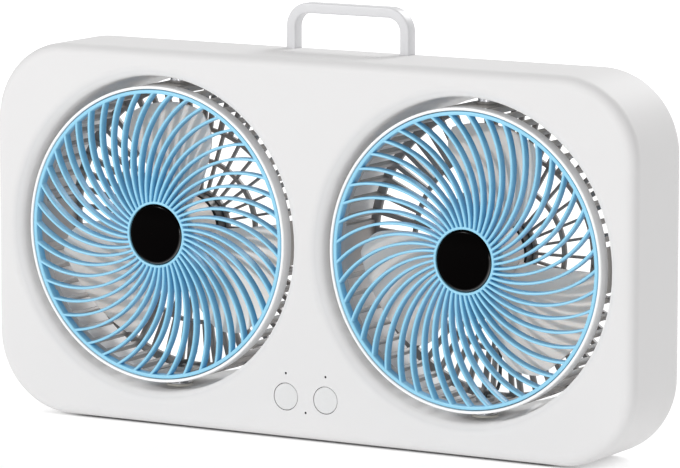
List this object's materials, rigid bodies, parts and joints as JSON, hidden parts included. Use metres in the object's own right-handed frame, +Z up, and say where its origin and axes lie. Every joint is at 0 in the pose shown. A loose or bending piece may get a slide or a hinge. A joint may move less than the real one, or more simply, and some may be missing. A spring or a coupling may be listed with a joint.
{
  "type": "camping fan",
  "caption": "Flat white camping fan with swivelling round fan heads side by side in a casing, blue spiral grilles, push buttons and a pull-up carry handle.",
  "frame": {"origin": "middle of the casing's footprint, on the surface that the rubber feet stand on", "axes": "+X to the right seen from the front, +Y to the back, +Z up"},
  "size_m": [0.384, 0.054, 0.2255],
  "materials": {
    "casing_white": "smooth, softly glossy white plastic",
    "handle_white": "smooth white plastic",
    "button_white": "smooth white plastic",
    "band_white": "smooth white plastic",
    "grille_blue": "smooth light blue plastic",
    "cap_black": "polished black plastic",
    "guard_grey": "satin mid grey plastic",
    "blade_grey": "smooth, faintly translucent pale plastic",
    "motor_black": "satin black paint",
    "steel": "plain machined steel",
    "screw_steel": "zinc plated",
    "brass": "sintered bronze and brass",
    "magnet_dark": "ferrite, matt",
    "winding_copper": "laminated iron with copper windings",
    "bush_ivory": "waxy acetal",
    "rubber_grey": "matt rubber",
    "guide_grey": "matt grey acetal",
    "board_green": "solder-masked board",
    "switch_metal": "small stamped shells",
    "lens_clear": "smoky clear plastic",
    "led_yellow": "phosphor-filled package",
    "cell_wrap": "blue shrink sleeve",
    "holder_black": "matt black plastic",
    "lead_red": "soft red insulation",
    "lead_black": "soft black insulation"
  },
  "bodies": {
    "casing": {"front_cover": "casing_white", "rear_cover": "casing_white", "casing_screws": "screw_steel", "rubber_feet": "rubber_grey", "pivot_bushes": "bush_ivory", "pivot_washers": "steel", "handle_guides": "guide_grey", "tact_switches": "switch_metal", "control_board": "board_green", "board_screws": "screw_steel", "indicator_lenses": "lens_clear", "indicator_leds": "led_yellow", "battery_holder": "holder_black", "battery_cells": "cell_wrap", "charge_board": "board_green", "charge_port": "switch_metal", "battery_lead": "lead_red", "charge_lead": "lead_black", "left_pivot_lead": "lead_black", "right_pivot_lead": "lead_black"},
    "handle": {"carry_handle": "handle_white"},
    "left_push_button": {"left_button": "button_white", "left_switch_plunger": "holder_black"},
    "right_push_button": {"right_button": "button_white", "right_switch_plunger": "holder_black"},
    "left_head": {"left_head_ring": "band_white", "left_front_grille": "grille_blue", "left_hub_cap": "cap_black", "left_guard_side": "guard_grey", "left_guard_back": "guard_grey", "left_upper_pivot_pin": "steel", "left_lower_pivot_pin": "steel", "left_motor_can": "steel", "left_motor_end_cap": "motor_black", "left_motor_magnets": "magnet_dark", "left_motor_bushes": "brass", "left_motor_brushes": "brass", "left_motor_screws": "screw_steel", "left_motor_lead": "lead_black"},
    "left_rotor": {"left_fan_blade": "blade_grey", "left_motor_shaft": "steel", "left_armature": "winding_copper"},
    "right_head": {"right_head_ring": "band_white", "right_front_grille": "grille_blue", "right_hub_cap": "cap_black", "right_guard_side": "guard_grey", "right_guard_back": "guard_grey", "right_upper_pivot_pin": "steel", "right_lower_pivot_pin": "steel", "right_motor_can": "steel", "right_motor_end_cap": "motor_black", "right_motor_magnets": "magnet_dark", "right_motor_bushes": "brass", "right_motor_brushes": "brass", "right_motor_screws": "screw_steel", "right_motor_lead": "lead_black"},
    "right_rotor": {"right_fan_blade": "blade_grey", "right_motor_shaft": "steel", "right_armature": "winding_copper"}
  },
  "joints": [
    {"name": "left_head_swivel", "type": "hinge", "parent": "casing", "child": "left_head", "pos_m": [-0.0928, 0, 0.1022], "axis": [0, 0, 1], "range_deg": [-90, 90]},
    {"name": "left_blade_spin", "type": "hinge", "parent": "left_head", "child": "left_rotor", "pos_m": [-0.0928, 0, 0.1022], "axis": [0, -1, 0], "continuous": true},
    {"name": "right_head_swivel", "type": "hinge", "parent": "casing", "child": "right_head", "pos_m": [0.0928, 0, 0.1022], "axis": [0, 0, 1], "range_deg": [-90, 90]},
    {"name": "right_blade_spin", "type": "hinge", "parent": "right_head", "child": "right_rotor", "pos_m": [0.0928, 0, 0.1022], "axis": [0, -1, 0], "continuous": true},
    {"name": "left_button_press", "type": "slide", "parent": "casing", "child": "left_push_button", "axis": [0, 1, 0], "range_m": [0, 0.0008], "stiffness_N_per_m": 1500, "springref_m": -0.0004},
    {"name": "right_button_press", "type": "slide", "parent": "casing", "child": "right_push_button", "axis": [0, 1, 0], "range_m": [0, 0.0008], "stiffness_N_per_m": 1500, "springref_m": -0.0004},
    {"name": "handle_slide", "type": "slide", "parent": "casing", "child": "handle", "axis": [0, 0, -1], "range_m": [0, 0.0135]}
  ]
}
